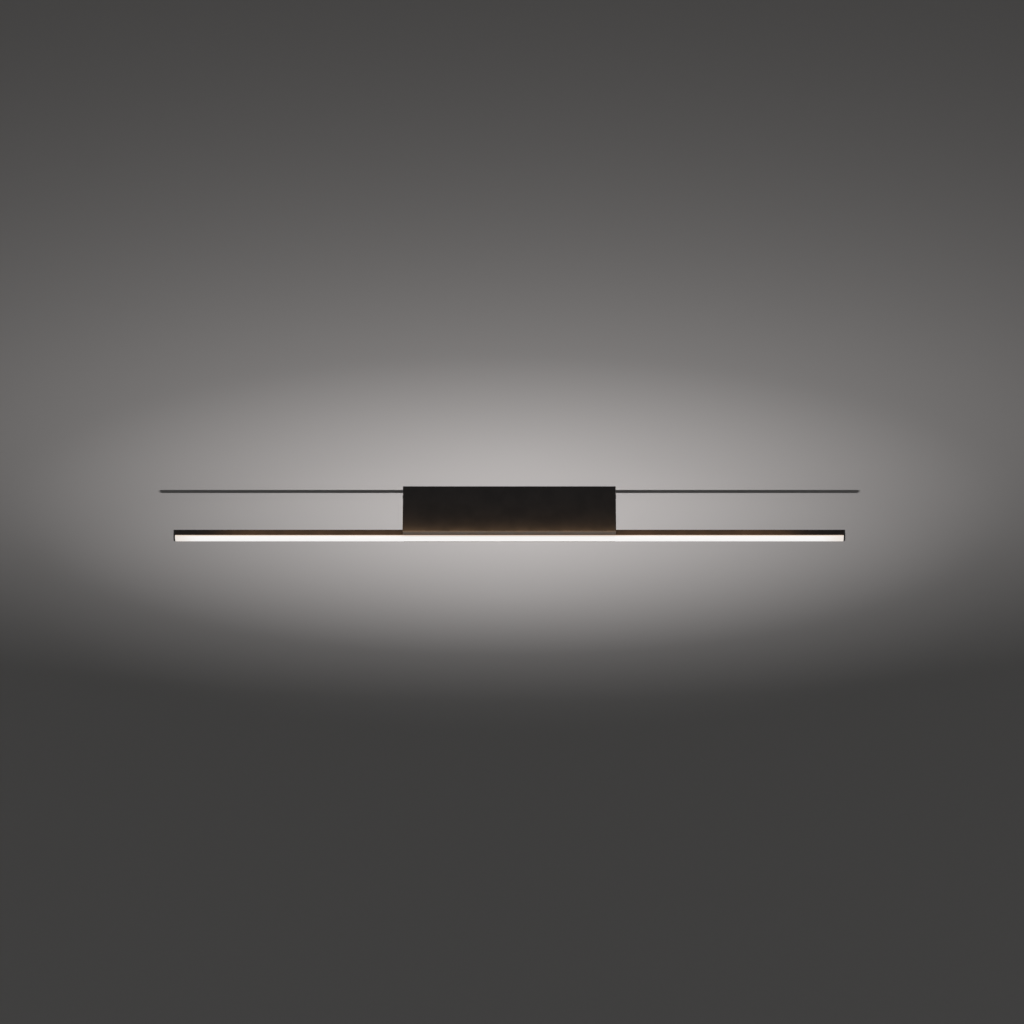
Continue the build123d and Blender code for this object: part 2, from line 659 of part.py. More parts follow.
def end_cap(side):
    """Moulded cap with the bar's D outline, rounded outside, and a plug that fits in the bar."""
    low = HOUSING_BOTTOM
    face = Pos(0, low) * Circle(CHANNEL_HALF)
    face += Pos(0, low + CHANNEL_HEIGHT / 2) * Rectangle(CHANNEL_WIDTH, CHANNEL_HEIGHT)
    inside = side * (CHANNEL_END + THREAD_GAP)
    outside = side * BAR_LENGTH / 2
    plate = bar_section(face, min(inside, outside), max(inside, outside))
    outer_edges = plate.edges().group_by(Axis.X)[-1 if side > 0 else 0]
    plate = fillet([edge for edge in outer_edges if edge.geom_type == GeomType.CIRCLE], 1.6)
    deep = side * (CHANNEL_END - SPIGOT)
    plug = block(min(deep, inside), max(deep, inside), -7.4, 7.4, low + 4.2, CHANNEL_TOP - CHANNEL_WEB - 0.1)
    plug += block(min(deep, inside), max(deep, inside), -6.2, 6.2, low - 2, low + 4.2)
    return plate + plug


def main():
    """Builds and writes every node."""
    os.makedirs("parts", exist_ok=True)
    save("ceiling_bracket", ceiling_bracket())
    save("cable_grommet", cable_grommet())
    save("locking_nuts", *locking_nuts())
    save("locking_screw_left", locking_screw(-1))
    save("locking_screw_right", locking_screw(1))
    stud, washer, nut = bracket_earth()
    save("bracket_earth_stud", stud)
    save("bracket_earth_washer", washer)
    save("bracket_earth_nut", nut)

    save("housing_shell", housing_shell())
    save("tray_studs", *tray_studs())
    save("tray_nuts", *tray_nuts())
    save("gear_tray", gear_tray())
    save("bar_screws", *bar_screws())
    save("lead_grommet", lead_grommet())
    save("earth_tag", earth_tag())
    save("earth_screw", earth_screw())

    save("driver_base", driver_base())
    save("driver_lid", driver_lid())
    save("driver_board", driver_board())
    bobbin, core, winding = transformer()
    save("transformer_bobbin", bobbin)
    save("transformer_core", core)
    save("transformer_winding", winding)
    save("capacitors", *capacitors())
    save("film_capacitor", film_capacitor())
    ring, turns = choke()
    save("choke_core", ring)
    save("choke_winding", turns)
    save("heat_sink", heat_sink())
    save("transistor", transistor())
    save("driver_fuse", fuse())
    save("driver_input_terminal", driver_terminal(-1))
    save("driver_output_terminal", driver_terminal(1))
    screw = pan_screw(1.5, 4.6, 2.8, 2.0)
    save("driver_screws", *[Pos(x, y, TRAY_TOP + 2.4) * screw for x, y in DRIVER_SCREWS])

    save("terminal_base", terminal_base())
    save("terminal_body", terminal_body())
    save("terminal_contacts", *terminal_contacts())
    save("terminal_springs", *terminal_springs())
    save("terminal_screws", *terminal_screws())
    for pole, x in zip(POLES, POLE_X):
        save(f"terminal_lever_{pole}", terminal_lever(x))

    save("lead_live", supply_lead("lead_live", POLE_X[0], 27.0, 3.0, TERMINAL_WIRE + 5))
    save("lead_neutral", supply_lead("lead_neutral", POLE_X[1], 22.0, -3.0, TERMINAL_WIRE + 3))
    save("lead_earth", earth_lead())
    save("lead_positive", bar_lead("lead_positive", 1))
    save("lead_negative", bar_lead("lead_negative", -1))

    save("bar_channel", bar_channel())
    save("thermal_tape", thermal_tape())
    save("led_board", led_board())
    save("led_chips", *led_chips())
    save("led_resistors", *led_resistors())
    save("solder_joints", *solder_joints())
    save("diffuser", diffuser())
    save("end_cap_left", end_cap(-1))
    save("end_cap_right", end_cap(1))


main()
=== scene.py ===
import json
import logging
import math
from contextlib import contextmanager
from dataclasses import dataclass
from enum import Enum
from typing import Callable, ClassVar, Iterator, Sequence

import bpy
from mathutils import Matrix, Vector


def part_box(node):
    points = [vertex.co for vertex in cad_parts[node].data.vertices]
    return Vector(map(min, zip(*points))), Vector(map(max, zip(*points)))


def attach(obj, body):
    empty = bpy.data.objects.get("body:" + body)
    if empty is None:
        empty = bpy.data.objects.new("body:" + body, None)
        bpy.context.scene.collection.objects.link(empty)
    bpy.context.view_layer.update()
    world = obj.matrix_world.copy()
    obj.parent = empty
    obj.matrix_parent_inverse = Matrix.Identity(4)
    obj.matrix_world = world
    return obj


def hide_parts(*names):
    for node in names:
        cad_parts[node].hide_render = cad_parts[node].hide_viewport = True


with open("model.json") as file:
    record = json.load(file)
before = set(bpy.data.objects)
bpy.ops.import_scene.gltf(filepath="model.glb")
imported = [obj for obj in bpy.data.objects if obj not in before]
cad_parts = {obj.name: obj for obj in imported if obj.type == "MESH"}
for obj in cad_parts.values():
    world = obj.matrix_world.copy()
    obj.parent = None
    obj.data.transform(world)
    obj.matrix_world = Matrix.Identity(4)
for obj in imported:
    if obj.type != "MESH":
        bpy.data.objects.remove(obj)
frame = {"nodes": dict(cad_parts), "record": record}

LOG = logging.getLogger("ceiling_light")
MM = 0.001
SHARP_ANGLE = 35.0
TINY = 0.01 * MM
PAN_RADIUS = 2.8 * MM
PAN_HEIGHT = 2.0 * MM
BAR_SCREW_PITCH = 18 * MM
LED_LENGTH = 3.5 * MM
LED_PITCH = 9.8 * MM
LED_RECESS = 0.12 * MM
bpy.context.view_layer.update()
Point = tuple[float, float, float]
Size = tuple[float, float]
Piece = bpy.types.Object
Test = Callable[[Vector, Vector], bool]


class Body(str, Enum):
    """The rigid bodies that the pieces ride on."""

    BRACKET = "ceiling_bracket"
    HOUSING = "housing"
    SCREW_LEFT = "locking_screw_left"
    SCREW_RIGHT = "locking_screw_right"


class Pattern(Enum):
    """What a finish shows when it is looked at closely."""

    ORANGE_PEEL = "rounded grain of a powder coat"
    DRAWN = "fine lines along an extrusion"
    SPANGLE = "zinc crystals on galvanised sheet"
    GRAIN = "spark-eroded grain of a moulding"
    SATIN = "even satin of plated or sintered metal"
    TURNS = "wire wound side by side"
    STRIPE = "a second colour along a lead"
    TRACKS = "copper tracks under a solder mask"


# ---------------------------------------------------------------- shaders
class Wire:
    """A shader value that ordinary operators work on."""

    def __init__(self, paint: "Paint", socket: bpy.types.NodeSocket) -> None:
        """Keeps the node tree's painter and the output socket."""
        self.paint = paint
        self.socket = socket

    def _maths(self, operation: str, first: "Wire | float", second: "Wire | float") -> "Wire":
        """Adds one Math node.

        Args:
            operation: the Math node's operation.
            first: the upper input.
            second: the lower input.

        Returns:
            The node's value.
        """
        return self.paint.node("ShaderNodeMath", {"operation": operation}, {0: first, 1: second})

    def __add__(self, other: "Wire | float") -> "Wire":
        """Sum."""
        return self._maths("ADD", self, other)

    def __mul__(self, other: "Wire | float") -> "Wire":
        """Product."""
        return self._maths("MULTIPLY", self, other)

    def __sub__(self, other: "Wire | float") -> "Wire":
        """Difference."""
        return self._maths("SUBTRACT", self, other)

    def __rsub__(self, other: float) -> "Wire":
        """Difference from a number."""
        return self._maths("SUBTRACT", other, self)

    def __truediv__(self, other: "Wire | float") -> "Wire":
        """Quotient."""
        return self._maths("DIVIDE", self, other)

    def __abs__(self) -> "Wire":
        """Size without sign."""
        return self._maths("ABSOLUTE", self, 0.0)

    __radd__ = __add__
    __rmul__ = __mul__

    def largest(self, other: "Wire | float") -> "Wire":
        """The larger of two values."""
        return self._maths("MAXIMUM", self, other)

    def wave(self, period: float) -> "Wire":
        """A sine wave from 0 to 1 that repeats after a period of the value."""
        return self._maths("SINE", self * (2 * math.pi / period), 0.0) * 0.5 + 0.5

    def ramp(self, low: float, high: float, to_low: float = 0.0, to_high: float = 1.0) -> "Wire":
        """A smooth step between two values.

        Args:
            low: where the step starts.
            high: where it ends.
            to_low: the value before it.
            to_high: the value after it.

        Returns:
            The stepped value.
        """
        inputs = {0: self, 1: low, 2: high, 3: to_low, 4: to_high}
        return self.paint.node("ShaderNodeMapRange", {"interpolation_type": "SMOOTHSTEP"}, inputs)


class Paint:
    """Builds the nodes of one material or world."""

    def __init__(self, block: bpy.types.ID, surface: str = "Principled BSDF") -> None:
        """Opens the block's nodes and finds its shader.

        Args:
            block: a new material or world.
            surface: the name of the shader that it starts with.
        """
        block.use_nodes = True
        self.material = block
        self.tree = block.node_tree
        self.surface = self.tree.nodes[surface]

    def node(self, kind: str, settings: dict, inputs: dict, output: int | str = 0) -> Wire:
        """Adds a node.

        Args:
            kind: the node's type.
            settings: properties, which are set first.
            inputs: values or wires, by socket name or number.
            output: the output that the wire carries.

        Returns:
            A wire on the chosen output.
        """
        made = self.tree.nodes.new(kind)
        for key, value in settings.items():
            setattr(made, key, value)
        for key, value in inputs.items():
            self.join(made.inputs[key], value)
        return Wire(self, made.outputs[output])

    def join(self, socket: bpy.types.NodeSocket, value: object) -> None:
        """Links a wire to a socket, or sets a plain value on it.

        Args:
            socket: the input socket.
            value: a wire or a plain value.
        """
        if isinstance(value, Wire):
            self.tree.links.new(value.socket, socket)
        else:
            socket.default_value = value

    def set(self, name: str, value: object) -> None:
        """Sets or links one socket of the surface."""
        self.join(self.surface.inputs[name], value)

    def place(self) -> Wire:
        """The point on the piece, in metres."""
        return self.node("ShaderNodeTexCoord", {}, {}, "Object")

    def axis(self, place: Wire, name: str) -> Wire:
        """One coordinate of a place."""
        return self.node("ShaderNodeSeparateXYZ", {}, {0: place}, name)

    def stretch(self, place: Wire, scale: Point) -> Wire:
        """A place with each axis scaled."""
        return self.node("ShaderNodeVectorMath", {"operation": "MULTIPLY"}, {0: place, 1: scale})

    def noise(self, place: Wire, scale: float, detail: float = 3.0) -> Wire:
        """Soft noise from 0 to 1."""
        return self.node("ShaderNodeTexNoise", {}, {"Vector": place, "Scale": scale, "Detail": detail}, 0)

    def cells(self, place: Wire, scale: float, output: str) -> Wire:
        """Random cells: each cell's colour, or the distance to its middle."""
        return self.node("ShaderNodeTexVoronoi", {}, {"Vector": place, "Scale": scale}, output)

    def mix(self, share: Wire | float, first: object, second: object) -> Wire:
        """A colour between two colours."""
        settings = {"data_type": "RGBA"}
        return self.node("ShaderNodeMix", settings, {0: share, 6: first, 7: second}, 2)

    def bump(self, height: Wire, depth: float, strength: float = 1.0) -> None:
        """Raises the surface by a height, depth metres at most."""
        inputs = {"Height": height, "Distance": depth, "Strength": strength}
        self.set("Normal", self.node("ShaderNodeBump", {}, inputs))


def colour(red: float, green: float, blue: float) -> tuple[float, float, float, float]:
    """An opaque linear colour."""
    return (red, green, blue, 1.0)


SPANGLE_SCALE = 190.0
WIRE_PITCH = 0.9 * MM
STRIPE_PITCH = 7 * MM
ENDS_FADE = 45 * MM
# Share of the cover's radius, under the channel, that carries the painted warm glare.
PAINTED_GLARE_SHARE = 0.27
PLASTIC_GRAIN = 0.012 * MM


@dataclass(frozen=True)
class Finish:
    """A surface: its colours, gloss and close-up pattern."""

    tone: Point
    second: Point
    roughness: float
    metallic: float = 0.0
    pattern: Pattern = Pattern.GRAIN
    depth: float = PLASTIC_GRAIN
    coat: float = 0.0
    gloss: float = 0.5

    def relief(self, paint: Paint, place: Wire) -> Wire:
        """The pattern's height.

        Args:
            paint: the material's painter.
            place: the point on the piece.

        Returns:
            A height from 0 to 1.
        """
        if self.pattern is Pattern.ORANGE_PEEL:
            return paint.noise(place, 1100.0, 2.0)
        if self.pattern is Pattern.DRAWN:
            return paint.noise(paint.stretch(place, (6.0, 2600.0, 2600.0)), 1.0, 2.0)
        if self.pattern is Pattern.SPANGLE:
            return paint.cells(place, SPANGLE_SCALE, "Distance")
        if self.pattern is Pattern.TURNS:
            return paint.axis(place, "Z").wave(WIRE_PITCH)
        if self.pattern is Pattern.SATIN:
            return paint.noise(place, 2400.0, 4.0)
        return paint.noise(place, 3200.0, 2.0)

    def build(self, name: str) -> bpy.types.Material:
        """Makes the material.

        Args:
            name: the material slot's name.

        Returns:
            The finished material.
        """
        paint = Paint(bpy.data.materials.new(name))
        place = paint.place()
        relief = self.relief(paint, place)
        cloud = paint.noise(place, 45.0, 4.0)
        share = cloud.ramp(0.3, 0.7)
        if self.pattern is Pattern.SPANGLE:
            share = paint.axis(paint.cells(place, SPANGLE_SCALE, "Color"), "X")
        if self.pattern is Pattern.STRIPE:
            slant = paint.axis(place, "X") + paint.axis(place, "Y") + paint.axis(place, "Z")
            share = slant.wave(STRIPE_PITCH).ramp(0.4, 0.6)
        if self.pattern is Pattern.TRACKS:
            share = paint.noise(paint.stretch(place, (1.0, 4.0, 1.0)), 160.0, 0.0).ramp(0.49, 0.51)
        paint.set("Base Color", paint.mix(share, colour(*self.tone), colour(*self.second)))
        paint.set("Roughness", cloud.ramp(0.25, 0.75, self.roughness * 0.88, min(1.0, self.roughness * 1.12)))
        paint.set("Metallic", self.metallic)
        paint.set("Specular IOR Level", self.gloss)
        if self.coat:
            paint.set("Coat Weight", self.coat)
            paint.set("Coat Roughness", 0.2)
        paint.bump(relief, self.depth)
        return paint.material


@dataclass(frozen=True)
class OpalGlow:
    """Opal plastic lit from inside, softer at the ends, with a painted warm glare along the top edge that
    meets the channel.
    """

    half_length: float
    plane: float
    radius: float
    strength: float = 0.84

    def build(self, name: str) -> bpy.types.Material:
        """Makes the glowing material.

        Args:
            name: the material slot's name.

        Returns:
            The finished material.
        """
        paint = Paint(bpy.data.materials.new(name))
        place = paint.place()
        along = abs(paint.axis(place, "X"))
        ends = along.ramp(self.half_length - ENDS_FADE, self.half_length)
        # Painted glare: the glow turns orange-brown towards the top edge of the dome, next to the channel.
        rise = paint.axis(place, "Z").ramp(self.plane - self.radius * PAINTED_GLARE_SHARE, self.plane)
        milk = paint.noise(paint.stretch(place, (60.0, 300.0, 300.0)), 1.0, 2.0)
        glow_with_painted_glare = paint.mix(rise, colour(1.0, 0.985, 0.97), colour(0.62, 0.38, 0.21))
        dimmed = paint.mix(ends * 0.5, glow_with_painted_glare, colour(0.78, 0.66, 0.55))
        paint.set("Base Color", paint.mix(milk * 0.1, colour(0.93, 0.92, 0.9), colour(0.86, 0.85, 0.83)))
        paint.set("Roughness", 0.38)
        paint.set("Emission Color", paint.mix(milk * 0.04, dimmed, colour(0.9, 0.86, 0.8)))
        paint.set("Emission Strength", self.strength)
        paint.bump(paint.noise(place, 1500.0, 2.0), 0.01 * MM)
        return paint.material


POWDER_TONES = (0.0095, 0.0093, 0.0095), (0.0135, 0.013, 0.0132)
ANODISED_TONES = (0.02, 0.017, 0.015), (0.028, 0.023, 0.02)
SLEEVE_TONES = (0.02, 0.025, 0.06), (0.03, 0.035, 0.08)
FINISHES: dict[str, Finish] = {
    "powder_black": Finish(*POWDER_TONES, 0.5, 0.0, Pattern.ORANGE_PEEL, 0.06 * MM, gloss=0.16),
    "anodised_black": Finish(*ANODISED_TONES, 0.36, 0.55, Pattern.DRAWN, 0.006 * MM),
    "zinc_steel": Finish((0.62, 0.64, 0.67), (0.5, 0.53, 0.58), 0.3, 1.0, Pattern.SATIN, 0.003 * MM),
    "galvanised": Finish((0.58, 0.6, 0.62), (0.42, 0.44, 0.47), 0.38, 1.0, Pattern.SPANGLE, 0.01 * MM),
    "black_steel": Finish((0.03, 0.03, 0.032), (0.045, 0.045, 0.047), 0.34, 0.6, Pattern.SATIN, 0.004 * MM),
    "cap_black": Finish((0.016, 0.015, 0.015), (0.022, 0.021, 0.02), 0.5),
    "rubber_black": Finish((0.02, 0.02, 0.02), (0.035, 0.034, 0.033), 0.72),
    "driver_white": Finish((0.52, 0.52, 0.5), (0.47, 0.47, 0.45), 0.45),
    "terminal_grey": Finish((0.42, 0.44, 0.45), (0.36, 0.38, 0.39), 0.4),
    "lever_dark": Finish((0.06, 0.065, 0.07), (0.085, 0.09, 0.095), 0.32),
    "copper": Finish((0.78, 0.42, 0.26), (0.6, 0.3, 0.18), 0.28, 1.0, Pattern.SATIN, 0.003 * MM),
    "winding_copper": Finish((0.52, 0.17, 0.05), (0.4, 0.12, 0.035), 0.3, 0.7, Pattern.TURNS, 0.25 * MM, 0.6),
    "spring_steel": Finish((0.6, 0.6, 0.6), (0.5, 0.49, 0.47), 0.25, 1.0, Pattern.SATIN, 0.003 * MM),
    "tinned": Finish((0.7, 0.7, 0.69), (0.58, 0.58, 0.57), 0.33, 1.0, Pattern.SATIN, 0.006 * MM),
    "board_white": Finish((0.86, 0.86, 0.83), (0.82, 0.82, 0.79), 0.35, 0.0, Pattern.GRAIN, 0.004 * MM, 0.4),
    "board_green": Finish((0.02, 0.16, 0.06), (0.035, 0.23, 0.09), 0.35, 0.0, Pattern.TRACKS, 0.01 * MM, 0.5),
    "ferrite": Finish((0.05, 0.05, 0.055), (0.075, 0.075, 0.08), 0.55, 0.2, Pattern.SATIN, 0.02 * MM),
    "sleeve_dark": Finish(*SLEEVE_TONES, 0.28, 0.0, Pattern.SATIN, 0.004 * MM, 0.5),
    "film_yellow": Finish((0.62, 0.46, 0.07), (0.55, 0.4, 0.05), 0.35),
    "bare_aluminium": Finish((0.8, 0.8, 0.8), (0.7, 0.7, 0.71), 0.4, 1.0, Pattern.DRAWN, 0.01 * MM),
    "epoxy_black": Finish((0.02, 0.02, 0.021), (0.03, 0.03, 0.031), 0.55),
    "led_package": Finish((0.88, 0.87, 0.82), (0.84, 0.82, 0.76), 0.35, 0.0, Pattern.GRAIN, 0.004 * MM),
    "tape_grey": Finish((0.5, 0.5, 0.48), (0.44, 0.44, 0.42), 0.6, 0.0, Pattern.GRAIN, 0.02 * MM),
    "lead_brown": Finish((0.16, 0.065, 0.025), (0.19, 0.08, 0.03), 0.38, 0.0, Pattern.SATIN, 0.01 * MM),
    "lead_blue": Finish((0.02, 0.1, 0.42), (0.03, 0.13, 0.48), 0.38, 0.0, Pattern.SATIN, 0.01 * MM),
    "lead_green_yellow": Finish((0.05, 0.32, 0.06), (0.75, 0.62, 0.04), 0.38, 0.0, Pattern.STRIPE, 0.01 * MM),
    "lead_red": Finish((0.5, 0.02, 0.02), (0.56, 0.03, 0.025), 0.38, 0.0, Pattern.SATIN, 0.01 * MM),
    "lead_black": Finish((0.02, 0.02, 0.021), (0.03, 0.03, 0.03), 0.4, 0.0, Pattern.SATIN, 0.01 * MM),
}


class Palette:
    """Makes each finish once and hands it out by its slot's name."""

    made: ClassVar[dict[str, bpy.types.Material]] = {}

    @classmethod
    def get(cls, slot: str) -> bpy.types.Material:
        """The material of a slot, built when it is first asked for.

        Args:
            slot: the slot's name.

        Returns:
            The slot's material.
        """
        if slot not in cls.made:
            cls.made[slot] = FINISHES[slot].build(slot)
        return cls.made[slot]


# ---------------------------------------------------------------- modelling
class Bench:
    """Shapes meshes with Blender's own operators, as by hand."""

    @staticmethod
    def choose(*pieces: Piece) -> None:
        """Selects these pieces and nothing else; the first becomes the active one.

        Args:
            *pieces: the pieces to select.
        """
        bpy.ops.object.select_all(action="DESELECT")
        for piece in pieces:
            piece.select_set(True)
        if pieces:
            bpy.context.view_layer.objects.active = pieces[0]

    @staticmethod
    def settle(name: str) -> Piece:
        """Names the new object and moves its place into its mesh.

        Args:
            name: the object's and the mesh's name.

        Returns:
            The object.
        """
        piece = bpy.context.object
        piece.name = name
        piece.data.name = name
        bpy.ops.object.transform_apply(location=True, rotation=True, scale=True)
        return piece

    @staticmethod
    def cube(name: str, low: Sequence[float], high: Sequence[float]) -> Piece:
        """A box between two corners.

        Args:
            name: its name.
            low: the lowest corner.
            high: the highest corner.

        Returns:
            The box.
        """
        Bench.choose()
        low, high = Vector(low), Vector(high)
        bpy.ops.mesh.primitive_cube_add(size=1.0, location=(low + high) / 2, scale=high - low)
        return Bench.settle(name)

    @staticmethod
    def rod(name: str, start: Sequence[float], end: Sequence[float], radius: float, sides: int = 32) -> Piece:
        """A cylinder between two points.

        Args:
            name: its name.
            start: the middle of one end.
            end: the middle of the other end.
            radius: its radius.
            sides: how many sides it has.

        Returns:
            The cylinder.
        """
        Bench.choose()
        start, end = Vector(start), Vector(end)
        span = end - start
        turn = span.to_track_quat("Z", "Y").to_euler()
        bpy.ops.mesh.primitive_cylinder_add(
            vertices=sides, radius=radius, depth=span.length, location=(start + end) / 2, rotation=turn
        )
        return Bench.settle(name)

    @staticmethod
    @contextmanager
    def work(piece: Piece, mode: str = "FACE") -> Iterator[None]:
        """Opens a piece in edit mode and closes it again.

        Args:
            piece: the mesh.
            mode: what is selected, VERT, EDGE or FACE.

        Yields:
            Nothing, while the piece is open.
        """
        Bench.choose(piece)
        bpy.context.tool_settings.mesh_select_mode = (mode == "VERT", mode == "EDGE", mode == "FACE")
        bpy.ops.object.mode_set(mode="EDIT")
        yield
        bpy.ops.object.mode_set(mode="OBJECT")

    @staticmethod
    def clear(piece: Piece) -> None:
        """Deselects the whole mesh."""
        for part in (piece.data.vertices, piece.data.edges, piece.data.polygons):
            part.foreach_set("select", [False] * len(part))

    @staticmethod
    def pick_faces(piece: Piece, test: Test) -> None:
        """Selects the faces whose centre and normal pass a test.

        Args:
            piece: the mesh.
            test: takes the face's centre and normal.
        """
        Bench.clear(piece)
        for face in piece.data.polygons:
            face.select = test(face.center, face.normal)

    @staticmethod
    def pick_edges(piece: Piece, test: Test) -> None:
        """Selects the edges whose middle and direction pass a test.

        Args:
            piece: the mesh.
            test: takes the edge's middle and direction.
        """
        Bench.clear(piece)
        points = piece.data.vertices
        for edge in piece.data.edges:
            start, end = (points[i].co for i in edge.vertices)
            edge.select = test((start + end) / 2, (end - start).normalized())

    @staticmethod
    def bevel_edges(piece: Piece, test: Test, width: float, segments: int = 3) -> None:
        """Rounds the edges that pass a test.

        Args:
            piece: the mesh.
            test: takes the edge's middle and direction.
            width: the rounding's width.
            segments: how many steps it has.
        """
        Bench.pick_edges(piece, test)
        with Bench.work(piece, "EDGE"):
            bpy.ops.mesh.bevel(offset=width, segments=segments, affect="EDGES", clamp_overlap=True)

    @staticmethod
    def delete_faces(piece: Piece, test: Test) -> None:
        """Removes the faces that pass a test.

        Args:
            piece: the mesh.
            test: takes the face's centre and normal.
        """
        Bench.pick_faces(piece, test)
        with Bench.work(piece, "FACE"):
            bpy.ops.mesh.delete(type="FACE")

    @staticmethod
    def cut(piece: Piece, point: Sequence[float], normal: Sequence[float]) -> None:
        """Divides the mesh along a plane.

        Args:
            piece: the mesh.
            point: a point on the plane.
            normal: the plane's normal.
        """
        with Bench.work(piece):
            bpy.ops.mesh.select_all(action="SELECT")
            bpy.ops.mesh.bisect(plane_co=point, plane_no=normal)

    @staticmethod
    def outline(name: str, points: Sequence[Point], closed: bool = True) -> Piece:
        """Draws an outline by extruding one point from corner to corner.

        Args:
            name: its name.
            points: the corners, in order.
            closed: whether a face fills the outline.

        Returns:
            The piece, a flat face or an open line.
        """
        Bench.choose()
        bpy.ops.mesh.primitive_plane_add(size=MM, location=points[0])
        piece = Bench.settle(name)
        with Bench.work(piece, "VERT"):
            bpy.ops.mesh.select_all(action="SELECT")
            bpy.ops.mesh.merge(type="CENTER")
            for here, there in zip(points, points[1:]):
                step = Vector(there) - Vector(here)
                bpy.ops.mesh.extrude_vertices_move(TRANSFORM_OT_translate={"value": step})
            if closed:
                bpy.ops.mesh.select_all(action="SELECT")
                bpy.ops.mesh.edge_face_add()
        return piece

    @staticmethod
    def draw_out(piece: Piece, step: Sequence[float]) -> None:
        """Extrudes a flat outline into a solid.

        Args:
            piece: the filled outline.
            step: how far it is extruded, as a vector.
        """
        with Bench.work(piece):
            bpy.ops.mesh.select_all(action="SELECT")
            bpy.ops.mesh.extrude_region_move(TRANSFORM_OT_translate={"value": step})
            bpy.ops.mesh.select_all(action="SELECT")
            bpy.ops.mesh.normals_make_consistent(inside=False)

    @staticmethod
    def turn_round(piece: Piece, steps: int) -> None:
        """Spins an open profile round the Z axis into a closed round body.

        Args:
            piece: the open profile.
            steps: how many steps a turn has.
        """
        with Bench.work(piece, "VERT"):
            bpy.ops.mesh.select_all(action="SELECT")
            bpy.ops.mesh.spin(steps=steps, angle=2 * math.pi, center=(0, 0, 0), axis=(0, 0, 1))
            bpy.ops.mesh.select_all(action="SELECT")
            bpy.ops.mesh.remove_doubles(threshold=0.002 * MM)
            bpy.ops.mesh.normals_make_consistent(inside=False)

    @staticmethod
    def apply(piece: Piece, kind: str, **settings: object) -> None:
        """Adds a modifier and applies it.

        Args:
            piece: the mesh.
            kind: the modifier's type.
            **settings: the modifier's settings.
        """
        Bench.choose(piece)
        modifier = piece.modifiers.new("work", kind)
        for key, value in settings.items():
            setattr(modifier, key, value)
        bpy.ops.object.modifier_apply(modifier=modifier.name)

    @staticmethod
    def subtract(piece: Piece, cutter: Piece) -> None:
        """Cuts a shape away and removes the cutter."""
        Bench.apply(piece, "BOOLEAN", operation="DIFFERENCE", object=cutter, solver="EXACT")
        bpy.data.objects.remove(cutter)

    @staticmethod
    def soften(piece: Piece, width: float, angle: float = 40.0) -> None:
        """Rounds every sharp edge a little.

        Args:
            piece: the mesh.
            width: the rounding's width.
            angle: the smallest edge angle that counts as sharp, in degrees.
        """
        settings = {"limit_method": "ANGLE", "angle_limit": math.radians(angle), "use_clamp_overlap": True}
        Bench.apply(piece, "BEVEL", width=width, segments=2, **settings)

    @staticmethod
    def join(name: str, pieces: Sequence[Piece]) -> Piece:
        """Makes one piece of several.

        Args:
            name: its name.
            pieces: the pieces to join.

        Returns:
            The joined piece.
        """
        Bench.choose(*pieces)
        if len(pieces) > 1:
            bpy.ops.object.join()
        return Bench.settle(name)

    @staticmethod
    def copies(name: str, piece: Piece, places: Sequence[Matrix]) -> Piece:
        """Copies a piece modelled at the origin to several places and joins the copies.

        Args:
            name: its name.
            piece: the piece at the origin.
            places: where the copies stand.

        Returns:
            The joined copies.
        """
        made = []
        for matrix in places:
            twin = piece.copy()
            twin.data = piece.data.copy()
            twin.data.transform(matrix)
            bpy.context.scene.collection.objects.link(twin)
            made.append(twin)
        bpy.data.objects.remove(piece)
        return Bench.join(name, made)

    @staticmethod
    def smooth(piece: Piece) -> None:
        """Shades round stretches smooth and leaves real edges sharp.

        Args:
            piece: the mesh.
        """
        Bench.choose(piece)
        bpy.ops.object.shade_smooth_by_angle(angle=math.radians(SHARP_ANGLE))
        Bench.apply(piece, "WEIGHTED_NORMAL", keep_sharp=True)

    @staticmethod
    def fit(piece: Piece, slot: str, body: str, *nodes: str) -> Piece:
        """Dresses a finished piece and puts it on its body in place of CAD nodes.

        Args:
            piece: the finished piece.
            slot: the finish of a piece that has none yet.
            body: the body that it rides on.
            *nodes: the CAD nodes that it replaces.

        Returns:
            The same piece.
        """
        Bench.smooth(piece)
        if not piece.data.materials:
            piece.data.materials.append(Palette.get(slot))
        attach(piece, body)
        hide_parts(*nodes)
        LOG.info("%s: %d faces on %s, for %s", piece.name, len(piece.data.polygons), body, ", ".join(nodes))
        return piece


def arc(centre: Size, radius: float, start: float, end: float, steps: int) -> list[Size]:
    """Points on an arc in a plane.

    Args:
        centre: the arc's centre.
        radius: its radius.
        start: the first angle, in degrees.
        end: the last angle, in degrees.
        steps: how many spans it has.

    Returns:
        The points, both ends included.
    """
    angles = [math.radians(start + (end - start) * i / steps) for i in range(steps + 1)]
    return [(centre[0] + radius * math.cos(a), centre[1] + radius * math.sin(a)) for a in angles]


def across(x: float, points: Sequence[Size]) -> list[Point]:
    """Points (y, z) as corners of an outline that stands across the bar."""
    return [(x, y, z) for y, z in points]


def mirrored(points: Sequence[Size]) -> list[Size]:
    """Points (y, z) mirrored to the other side, in the order that closes an outline."""
    return [(-y, z) for y, z in reversed(points)]


def bar_screw_row(first: float, last: float) -> tuple[float, ...]:
    """Where the bar's four screws stand, a pair at each end."""
    return (first, first + BAR_SCREW_PITCH, last - BAR_SCREW_PITCH, last)


